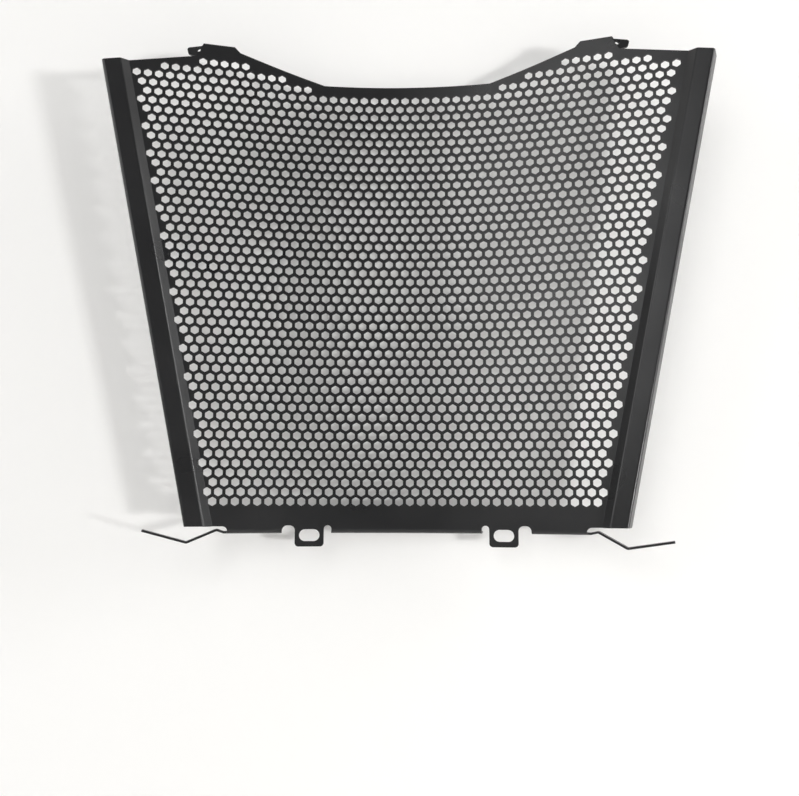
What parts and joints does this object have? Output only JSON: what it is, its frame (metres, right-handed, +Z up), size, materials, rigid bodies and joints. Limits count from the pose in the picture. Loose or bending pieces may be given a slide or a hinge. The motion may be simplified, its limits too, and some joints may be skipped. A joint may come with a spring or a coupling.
{
  "type": "motorcycle radiator guard",
  "caption": "Black perforated sheet-metal radiator guard for a motorcycle, rolled across its width, with folded side returns, slotted lower tabs, upper ears and cranked lower arms.",
  "frame": {"origin": "midway between the two lower fixing slots, on the front face of their tabs", "axes": "+X to the right as seen from the front, +Y back towards the radiator, +Z up"},
  "size_m": [0.4246, 0.0603, 0.3562],
  "materials": {
    "powder_coat": "matt black powder coat with a fine grain"
  },
  "bodies": {
    "root": {"guard_sheet": "powder_coat"}
  },
  "joints": []
}
